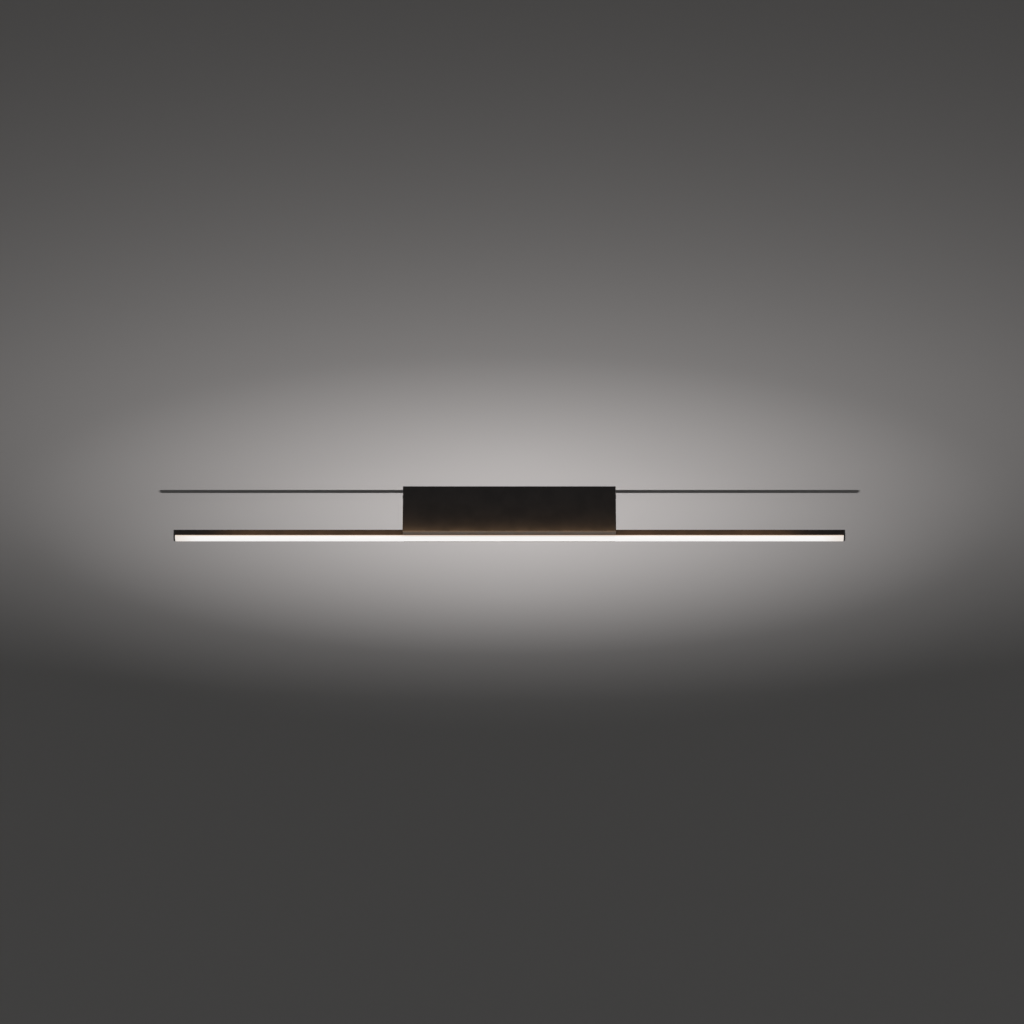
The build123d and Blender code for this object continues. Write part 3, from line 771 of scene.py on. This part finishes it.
# ---------------------------------------------------------------- housing
@dataclass
class HousingBox:
    """The folded sheet box that hides the bracket, with its slot for the bar."""

    sheet: float = 1.2 * MM
    fold: float = 1.0 * MM
    side_gap: float = 0.3 * MM
    lock_height: float = -10.0 * MM
    notch: float = 2.3 * MM
    notch_depth: float = 4.0 * MM
    edge: float = 0.14 * MM

    def build(self) -> Piece:
        """Builds the shell from one box: opened, slotted, folded round and given its sheet's thickness.

        Returns:
            The shell.
        """
        low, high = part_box("housing_shell")
        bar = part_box("bar_channel")[1]
        slot = bar.y + self.side_gap
        slot_top = bar.z + self.side_gap
        shell = Bench.cube("box_shell", low, high)
        Bench.delete_faces(shell, lambda c, n: n.z > 0.9)
        Bench.bevel_edges(shell, lambda m, d: abs(d.z) > 0.9 or m.z < low.z + self.sheet, self.fold, 4)
        for side in (-1, 1):
            Bench.cut(shell, (0, side * slot, 0), (0, 1, 0))
        Bench.cut(shell, (0, 0, slot_top), (0, 0, 1))
        Bench.delete_faces(shell, lambda c, n: abs(c.y) < slot and c.z < slot_top)
        with Bench.work(shell):
            bpy.ops.mesh.select_all(action="SELECT")
            bpy.ops.mesh.normals_make_consistent(inside=False)
        Bench.apply(shell, "SOLIDIFY", thickness=self.sheet, offset=-1.0, use_even_offset=True)
        for side in (-1, 1):
            wall = side * high.x
            name = "notch_cut"
            inside, outside = wall - side * self.notch_depth, wall + side * MM
            height = self.lock_height
            Bench.subtract(shell, Bench.rod(name, (inside, 0, height), (outside, 0, height), self.notch))
            left, right = sorted((inside, outside))
            Bench.subtract(shell, Bench.cube(name, (left, -self.notch, height), (right, self.notch, MM)))
        Bench.soften(shell, self.edge, 60.0)
        return Bench.fit(shell, "powder_black", Body.HOUSING, "housing_shell")


# ---------------------------------------------------------------- light bar
@dataclass
class LightBar:
    """The extruded channel, its opal cover, its end caps and the LED row."""

    wall: float = 1.2 * MM
    web: float = 2.0 * MM
    corner: float = 0.35 * MM
    lip: float = 0.1 * MM
    groove: float = 0.45 * MM
    groove_low: float = 2.9 * MM
    groove_high: float = 3.9 * MM
    lead_hole: float = 5.2 * MM
    screw_hole: float = 1.55 * MM
    cover_gap: float = 0.1 * MM
    cover_drop: float = 0.05 * MM
    leg: float = 0.9 * MM
    leg_height: float = 3.7 * MM
    hook: float = 0.35 * MM
    hook_height: float = 3.0 * MM
    cap: float = 3.0 * MM
    cap_corner: float = 0.5 * MM
    cap_round: float = 1.6 * MM
    plug_step: float = 4.2 * MM
    plug_edge: float = 0.3 * MM

    def build(self) -> list[Piece]:
        """Builds every piece of the bar.

        Returns:
            The outer pieces: the channel, the cover and the two caps.
        """
        low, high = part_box("bar_channel")
        self.half = high.y
        self.plane = low.z
        self.top = high.z
        self.end = high.x
        outer = [self.channel(), self.cover()]
        outer += [self.end_cap(-1, "end_cap_left"), self.end_cap(1, "end_cap_right")]
        self.led_row()
        return outer

    def channel(self) -> Piece:
        """Draws the channel's section with softened corners, extrudes it and drills its web.

        Returns:
            The channel.
        """
        half, low, top = self.half, self.plane, self.top
        inner = half - self.wall
        deep = inner + self.groove
        right = arc((half - self.corner, top - self.corner), self.corner, 90, 0, 3)
        right += [(half, low + self.lip), (half - self.lip, low), (inner, low)]
        right += [(inner, low + self.groove_low), (deep, low + self.groove_low)]
        right += [(deep, low + self.groove_high), (inner, low + self.groove_high), (inner, top - self.web)]
        piece = Bench.outline("channel_extrusion", across(-self.end, right + mirrored(right)))
        Bench.draw_out(piece, (2 * self.end, 0, 0))
        left_end, right_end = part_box("lead_grommet")
        holes = [((left_end.x + right_end.x) / 2, self.lead_hole, 32)]
        left_end, right_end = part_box("bar_screws")
        for x in bar_screw_row(left_end.x + PAN_RADIUS, right_end.x - PAN_RADIUS):
            holes.append((x, self.screw_hole, 24))
        inside = top - 2 * self.web
        for x, radius, sides in holes:
            Bench.subtract(piece, Bench.rod("cut", (x, 0, inside), (x, 0, top + MM), radius, sides))
        return Bench.fit(piece, "anodised_black", Body.HOUSING, "bar_channel")

    def cover(self) -> Piece:
        """Draws the half-round cover with its hooked legs and extrudes it.

        Returns:
            The cover.
        """
        plane, half = self.plane, self.half
        low = plane - self.cover_drop
        inner = half - self.wall
        leg_out = inner - self.cover_gap
        leg_in = leg_out - self.leg
        leg_top = plane + self.leg_height
        hook = leg_out + self.hook
        dip = math.acos(leg_out / inner)
        join_in = math.degrees(math.acos(leg_in / inner))
        left = [(-leg_out, plane - inner * math.sin(dip)), (-leg_out, plane + self.hook_height)]
        left += [(-hook, plane + self.hook_height), (-hook, leg_top - 0.3 * MM)]
        left += [(-leg_out + 0.05 * MM, leg_top), (-leg_in, leg_top)]
        rim = arc((0, plane), half, -0.35, -179.65, 48) + [(-inner, low)] + left
        rim += arc((0, plane), inner, -180 + join_in, -join_in, 32) + mirrored(left) + [(inner, low)]
        piece = Bench.outline("opal_cover", across(-self.end, rim))
        Bench.draw_out(piece, (2 * self.end, 0, 0))
        piece.data.materials.append(OpalGlow(self.end, plane, half).build("opal"))
        return Bench.fit(piece, "opal", Body.HOUSING, "diffuser")

    def end_cap(self, side: int, node: str) -> Piece:
        """Draws the cap's D outline, rounds its outer edge and adds the plug behind it.

        Args:
            side: -1 for the left end, 1 for the right end.
            node: the CAD cap that it replaces.

        Returns:
            The cap.
        """
        low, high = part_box(node)
        outer, deep = (high.x, low.x) if side > 0 else (low.x, high.x)
        inside = outer - side * (self.cap - 0.05 * MM)
        corner = self.cap_corner
        rim = arc((0, self.plane), self.half, 0, -180, 40)
        rim += arc((-self.half + corner, self.top - corner), corner, 180, 90, 4)
        rim += arc((self.half - corner, self.top - corner), corner, 90, 0, 4)
        plate = Bench.outline("cap_" + node, across(inside, rim))
        Bench.draw_out(plate, (outer - inside, 0, 0))
        limit = self.plane + 0.1 * MM
        Bench.bevel_edges(plate, lambda m, d: abs(m.x - outer) < TINY and m.z < limit, self.cap_round, 6)
        Bench.bevel_edges(
            plate, lambda m, d: abs(m.x - outer) < TINY and m.z > limit and abs(d.x) < 0.1, 0.35 * MM, 3
        )
        near, far = sorted((deep, inside + side * 0.02 * MM))
        step = self.plane + self.plug_step
        parts = [plate]
        wide = (7.4 * MM, step, self.top - 2.1 * MM)
        slim = (6.2 * MM, self.plane - 2 * MM, step)
        for width, bottom, top in (wide, slim):
            plug = Bench.cube("plug", (near, -width, bottom), (far, width, top))
            Bench.soften(plug, self.plug_edge)
            parts.append(plug)
        return Bench.fit(Bench.join("cap_" + node, parts), "cap_black", Body.HOUSING, node)

    def led_row(self) -> None:
        """Models one LED package with its phosphor window and repeats it along the board."""
        low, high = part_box("led_chips")
        count = round((high.x - low.x - LED_LENGTH) / LED_PITCH) + 1
        package = Bench.cube("package", low, (low.x + LED_LENGTH, high.y, high.z))
        Bench.pick_faces(package, lambda c, n: n.z < -0.9)
        with Bench.work(package):
            bpy.ops.mesh.inset(thickness=0.35 * MM)
            bpy.ops.mesh.extrude_region_move(TRANSFORM_OT_translate={"value": (0, 0, LED_RECESS)})
        for slot in ("led_package", "film_yellow"):
            package.data.materials.append(Palette.get(slot))
        for face in package.data.polygons:
            if abs(face.center.z - low.z - LED_RECESS) < TINY and face.normal.z < -0.9:
                face.material_index = 1
        settings = {"use_relative_offset": False, "use_constant_offset": True}
        Bench.apply(package, "ARRAY", count=count, constant_offset_displace=(LED_PITCH, 0, 0), **settings)
        package.name = "led_packages"
        Bench.fit(package, "led_package", Body.HOUSING, "led_chips")


# ---------------------------------------------------------------- fasteners
@dataclass
class PanScrew:
    """A pan-head screw with a cross recess and a rolled thread, upright with its seat at the origin."""

    radius: float
    length: float
    head_radius: float
    head_height: float
    pitch: float = 0.5 * MM

    def model(self) -> Piece:
        """Spins the profile and cuts the recess.

        Returns:
            The screw, at the origin, pointing down.
        """
        core = self.radius * 0.86
        chamfer = 0.12 * MM
        dome = self.head_height * 0.5
        profile = [(0.0, self.head_height)]
        profile += arc((self.head_radius - dome, self.head_height - dome), dome, 90, 0, 5)
        profile += [(self.head_radius, chamfer), (self.head_radius - chamfer, 0.0), (self.radius, 0.0)]
        depth = 0.2 * MM
        while depth + self.pitch < self.length - 0.3 * MM:
            profile += [(core, -depth), (self.radius, -depth - self.pitch * 0.5)]
            depth += self.pitch
        profile += [(core, -depth), (core * 0.75, -self.length), (0.0, -self.length)]
        screw = Bench.outline("screw", [(r, 0.0, z) for r, z in profile], closed=False)
        Bench.turn_round(screw, 28)
        arm, blade = self.head_radius * 0.55, self.head_radius * 0.13
        floor = self.head_height * 0.4
        for x, y in ((arm, blade), (blade, arm)):
            Bench.subtract(screw, Bench.cube("cut", (-x, -y, floor), (x, y, self.head_height + MM)))
        return screw


@dataclass
class HexNut:
    """A chamfered hexagon nut, with a flange if it has one, modelled upright with its seat at the origin."""

    flats: float
    height: float
    bore: float
    flange: float = 0.0

    def model(self) -> Piece:
        """Makes the hexagon, chamfers it on a cone and bores it.

        Returns:
            The nut, at the origin.
        """
        corner = self.flats / math.sqrt(3)
        nut = Bench.rod("nut", (0, 0, 0), (0, 0, self.height), corner, 6)
        slope = corner - self.flats / 2
        wide = corner * 1.02
        cone = [(0, self.height), (self.flats / 2 * 0.95, self.height), (wide, self.height - slope * 0.6)]
        cone += [(wide, 0), (0, 0)]
        round_body = Bench.outline("cone", [(r, 0.0, z) for r, z in cone], closed=False)
        Bench.turn_round(round_body, 36)
        Bench.apply(nut, "BOOLEAN", operation="INTERSECT", object=round_body, solver="EXACT")
        bpy.data.objects.remove(round_body)
        parts = [nut]
        if self.flange:
            collar = Bench.rod("collar", (0, 0, 0), (0, 0, 0.8 * MM), self.flange, 36)
            Bench.bevel_edges(collar, lambda m, d: m.z > 0.7 * MM and abs(d.z) < 0.1, 0.25 * MM, 2)
            parts.append(collar)
        for part in parts:
            Bench.subtract(part, Bench.rod("bore", (0, 0, -MM), (0, 0, self.height + MM), self.bore, 28))
        return Bench.join("nut", parts)


@dataclass
class Fasteners:
    """Every screw and nut, at the places where the CAD has them."""

    m3: float = 1.5 * MM
    m4: float = 2.0 * MM
    play: float = 0.05 * MM
    lock_length: float = 9.0 * MM
    lock_pitch: float = 0.7 * MM
    tray_nut: float = 3.6 * MM

    def centres(self, node: str, reach: float) -> tuple[Vector, Vector]:
        """The centres of the outermost pieces of a group, given half a piece's width.

        Args:
            node: the group's CAD node.
            reach: half a piece's width.

        Returns:
            The lowest and the highest centre.
        """
        low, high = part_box(node)
        half = Vector((reach, reach, 0))
        return low + half, high - half

    def build(self) -> None:
        """Builds the locking screws first, then the groups inside the box."""
        self.locking()
        self.inside()
        self.nuts()

    def locking(self) -> None:
        """The two screws outside the box's end walls."""
        for side, body in ((-1, Body.SCREW_LEFT), (1, Body.SCREW_RIGHT)):
            low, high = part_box(body)
            seat = (low.x + self.lock_length) if side > 0 else (high.x - self.lock_length)
            head = high.x - low.x - self.lock_length
            screw = PanScrew(self.m4, self.lock_length, (high.y - low.y) / 2, head, self.lock_pitch).model()
            place = Matrix.Translation((seat, 0, (low.z + high.z) / 2))
            turn = Matrix.Rotation(side * math.pi / 2, 4, "Y")
            Bench.fit(Bench.copies("clamp_" + body, screw, [place @ turn]), "black_steel", body, body)

    def inside(self) -> None:
        """The pan screws on the tray."""
        low, high = self.centres("bar_screws", PAN_RADIUS)
        self.group("bar_screws", [(x, 0) for x in bar_screw_row(low.x, high.x)], 3.2 * MM)
        low, high = self.centres("driver_screws", PAN_RADIUS)
        self.group("driver_screws", [(x, y) for x in (low.x, high.x) for y in (low.y, high.y)], 4.6 * MM)
        low, high = self.centres("terminal_screws", PAN_RADIUS)
        self.group("terminal_screws", [(x, low.y) for x in (low.x, high.x)], 4.6 * MM)
        low, high = self.centres("earth_screw", PAN_RADIUS)
        self.group("earth_screw", [(low.x, low.y)], 4.0 * MM)

    def group(self, node: str, places: Sequence[Size], length: float) -> None:
        """Copies one screw to each place of a group.

        Args:
            node: the CAD node that the group replaces.
            places: where the screws stand on the tray.
            length: how long they are under the head.
        """
        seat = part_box(node)[1].z - PAN_HEIGHT
        screw = PanScrew(self.m3, length, PAN_RADIUS, PAN_HEIGHT).model()
        turns = [Matrix.Translation((x, y, seat)) for x, y in places]
        Bench.fit(Bench.copies("set_" + node, screw, turns), "zinc_steel", Body.HOUSING, node)

    def nuts(self) -> None:
        """The nuts on the tray's studs, behind the bracket's tabs and on the earth stud."""
        low, high = self.centres("tray_nuts", self.tray_nut)
        nut = HexNut(5.5 * MM, 3.0 * MM, self.m3 + self.play, self.tray_nut).model()
        places = [Matrix.Translation((x, y, low.z)) for x in (low.x, high.x) for y in (low.y, high.y)]
        Bench.fit(Bench.copies("set_tray_nuts", nut, places), "zinc_steel", Body.HOUSING, "tray_nuts")
        wide_nut = HexNut(7.0 * MM, 3.2 * MM, self.m4 + self.play)
        low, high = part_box("locking_nuts")
        middle = (low.z + high.z) / 2
        places = [
            Matrix.Translation((x, 0, middle)) @ Matrix.Rotation(turn, 4, "Y")
            for x, turn in ((low.x, math.pi / 2), (high.x, -math.pi / 2))
        ]
        nut = Bench.copies("set_locking_nuts", wide_nut.model(), places)
        Bench.fit(nut, "zinc_steel", Body.BRACKET, "locking_nuts")
        low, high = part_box("bracket_earth_nut")
        place = Matrix.Translation(((low.x + high.x) / 2, 0, low.z))
        nut = Bench.copies("set_earth_nut", wide_nut.model(), [place])
        Bench.fit(nut, "zinc_steel", Body.BRACKET, "bracket_earth_nut")


# ---------------------------------------------------------------- carried-over pieces
def dress_cad_nodes() -> None:
    """Gives every CAD node that still shows the finish of its slot."""
    for part in frame["record"]["subparts"]:
        node = frame["nodes"][part["node"]]
        if node.hide_render:
            continue
        for slot in node.material_slots:
            slot.material = Palette.get(part["material_slot"])
        LOG.info("%s keeps its CAD shape, in %s", node.name, part["material_slot"])


# ---------------------------------------------------------------- stage, light and camera
@dataclass
class Stage:
    """A plain pale ceiling that the light hangs on, seen from below only, and a plain pale floor."""

    reach: float = 160.0
    lift: float = 0.4 * MM
    drop: float = 2.4
    ceiling_tone: Point = (0.62, 0.62, 0.62)
    floor_tone: Point = (0.72, 0.72, 0.72)

    def plane(self, name: str, height: float, turned: bool) -> Piece:
        """A large flat plane that faces up, or down if it is turned.

        Args:
            name: the plane's name.
            height: how high it lies.
            turned: whether it faces down.

        Returns:
            The plane.
        """
        Bench.choose()
        turn = (math.pi, 0, 0) if turned else (0, 0, 0)
        bpy.ops.mesh.primitive_plane_add(size=self.reach, location=(0, 0, height), rotation=turn)
        plane = Bench.settle(name)
        return plane

    def build(self) -> Piece:
        """Builds the ceiling and the floor, whose bounce leaves the ceiling alone.

        Returns:
            The ceiling.
        """
        ceiling = self.plane("stage_ceiling", self.lift, True)
        paint = Paint(bpy.data.materials.new("ceiling_paint"))
        place = paint.place()
        paint.set("Base Color", colour(*self.ceiling_tone))
        paint.set("Roughness", 0.9)
        paint.set("Specular IOR Level", 0.1)
        paint.bump(paint.noise(place, 220.0, 3.0), 0.15 * MM, 0.5)
        behind = paint.node("ShaderNodeNewGeometry", {}, {}, "Backfacing")
        shadow = paint.node("ShaderNodeLightPath", {}, {}, "Is Shadow Ray")
        clear = paint.node("ShaderNodeBsdfTransparent", {}, {}, 0)
        solid = Wire(paint, paint.surface.outputs[0])
        shown = paint.node("ShaderNodeMixShader", {}, {0: behind.largest(shadow), 1: solid, 2: clear})
        paint.join(paint.tree.nodes["Material Output"].inputs["Surface"], shown)
        ceiling.data.materials.append(paint.material)
        floor = self.plane("stage_floor", -self.drop, False)
        floor.visible_diffuse = False
        paint = Paint(bpy.data.materials.new("floor_paint"))
        paint.set("Base Color", colour(*self.floor_tone))
        paint.set("Roughness", 0.95)
        floor.data.materials.append(paint.material)
        return ceiling


@dataclass(frozen=True)
class Wash:
    """A small light far under the bar: its aim behind the bar, its spread in degrees and its power."""

    aim: float
    spread: float
    power: float


@dataclass
class Light:
    """The lamp's own light, as hidden lights, and plain soft studio light."""

    washes: tuple[Wash, ...] = (Wash(-0.2, 90.0, 3.51), Wash(0.2, 50.0, 1.11), Wash(0.7, 50.0, 0.38))
    wash_drop: float = 2.0
    wash_size: Size = (0.1, 10 * MM)
    spill_reach: float = 9 * MM
    spill_drop: float = 14 * MM
    spill_aim: float = 12 * MM
    spill_length: float = 0.8557
    spill_width: float = 3 * MM
    lamp_tone: Point = (1.0, 0.95, 0.935)
    spill_tone: Point = (1.0, 0.6, 0.3)
    spill_power: float = 1.32
    room: float = 0.062
    backdrop: float = 0.5
    side_power: float = 110.0
    sky_power: float = 2.1

    def area(self, name: str, place: Point, aim: Point, size: Size, power: float) -> Piece:
        """An area light that faces a point.

        Args:
            name: the light's name.
            place: where it stands.
            aim: the point that it faces.
            size: its width and height.
            power: its power in watts.

        Returns:
            The light.
        """
        data = bpy.data.lights.new(name, "AREA")
        data.shape = "RECTANGLE"
        data.size, data.size_y = size
        data.energy = power
        light = bpy.data.objects.new(name, data)
        light.location = place
        light.rotation_euler = (Vector(aim) - Vector(place)).to_track_quat("-Z", "Y").to_euler()
        light.visible_camera = False
        bpy.context.scene.collection.objects.link(light)
        return light

    def linked(self, name: str, pieces: Sequence[Piece]) -> bpy.types.Collection:
        """A collection of the only pieces that a light reaches, or that throw its shadow.

        Args:
            name: the collection's name.
            pieces: what it holds.

        Returns:
            The collection.
        """
        group = bpy.data.collections.new(name)
        for piece in pieces:
            group.objects.link(piece)
        return group

    def build(self, shell: Piece, bar: Sequence[Piece], ceiling: Piece) -> None:
        """Builds the lamp's spill, which hangs on the housing, its glow on the ceiling and the studio light.

        Args:
            shell: the box, which catches the lamp's spill.
            bar: the bar's outer pieces, the channel first; they throw its shadow on the ceiling.
            ceiling: the ceiling that the lamp washes.
        """
        low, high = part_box("diffuser")
        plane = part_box("bar_channel")[0].z
        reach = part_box("housing_shell")[1].y + self.spill_reach
        aim = (0, 0, plane + self.spill_aim)
        size = (self.spill_length * (high.x - low.x), self.spill_width)
        caught = self.linked("lit_by_spill", [shell, bar[0]])
        for side in (-1, 1):
            place = (0, side * reach, plane - self.spill_drop)
            spill = self.area(f"lamp_spill_{side}", place, aim, size, self.spill_power)
            spill.data.color = self.spill_tone
            spill.visible_glossy = False
            spill.light_linking.receiver_collection = caught
            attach(spill, Body.HOUSING)
        overhead = self.linked("lit_by_wash", [ceiling])
        shading = self.linked("shades_wash", bar)
        for number, each in enumerate(self.washes):
            place = (0, 0, -self.wash_drop)
            wash = self.area(f"lamp_wash_{number}", place, (0, each.aim, 0), self.wash_size, each.power)
            wash.data.spread = math.radians(each.spread)
            wash.data.color = self.lamp_tone
            wash.visible_glossy = False
            wash.light_linking.receiver_collection = overhead
            wash.light_linking.blocker_collection = shading
        self.area("studio_side", (2.6, 0.7, 2.6), (0, 0, -0.05), (1.8, 1.8), self.side_power)
        sky = bpy.data.lights.new("studio_sky", "SUN")
        sky.energy = self.sky_power
        sky.angle = math.radians(30)
        light = bpy.data.objects.new("studio_sky", sky)
        light.rotation_euler = Vector((0.42, 0.12, -0.9)).to_track_quat("-Z", "Y").to_euler()
        bpy.context.scene.collection.objects.link(light)
        world = bpy.data.worlds.new("studio")
        bpy.context.scene.world = world
        paint = Paint(world, "Background")
        seen = paint.node("ShaderNodeLightPath", {}, {}, "Is Camera Ray")
        paint.set("Color", colour(1.0, 0.975, 0.955))
        paint.set("Strength", seen * (self.backdrop - self.room) + self.room)


@dataclass
class ViewCamera:
    """A camera below the light, looking up at it from the front."""

    lens: float = 98.4
    sensor: float = 36.0
    distance: float = 5.007
    rise: float = 16.8
    tilt: float = 17.3
    sideways: float = 4.7 * MM

    def build(self) -> None:
        """Puts the camera in place and makes it the scene's camera."""
        data = bpy.data.cameras.new("camera")
        data.lens = self.lens
        data.sensor_width = self.sensor
        data.clip_start = 0.05
        data.clip_end = 200.0
        camera = bpy.data.objects.new("camera", data)
        rise = math.radians(self.rise)
        aim = Vector((0, 0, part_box("housing_shell")[0].z))
        camera.location = aim - self.distance * Vector((0, math.cos(rise), math.sin(rise)))
        camera.location.x = self.sideways
        camera.rotation_euler = (math.pi / 2 + math.radians(self.tilt), 0, 0)
        bpy.context.scene.collection.objects.link(camera)
        bpy.context.scene.camera = camera


def main() -> None:
    """Builds the light, its stage, its lighting and the camera."""
    logging.basicConfig(level=logging.INFO, format="%(name)s %(message)s")
    bpy.ops.object.select_all(action="DESELECT")
    bpy.context.scene.view_settings.view_transform = "Standard"
    shell = HousingBox().build()
    bar = LightBar().build()
    Fasteners().build()
    dress_cad_nodes()
    ceiling = Stage().build()
    Light().build(shell, bar, ceiling)
    ViewCamera().build()


if __name__ == "__main__":
    main()
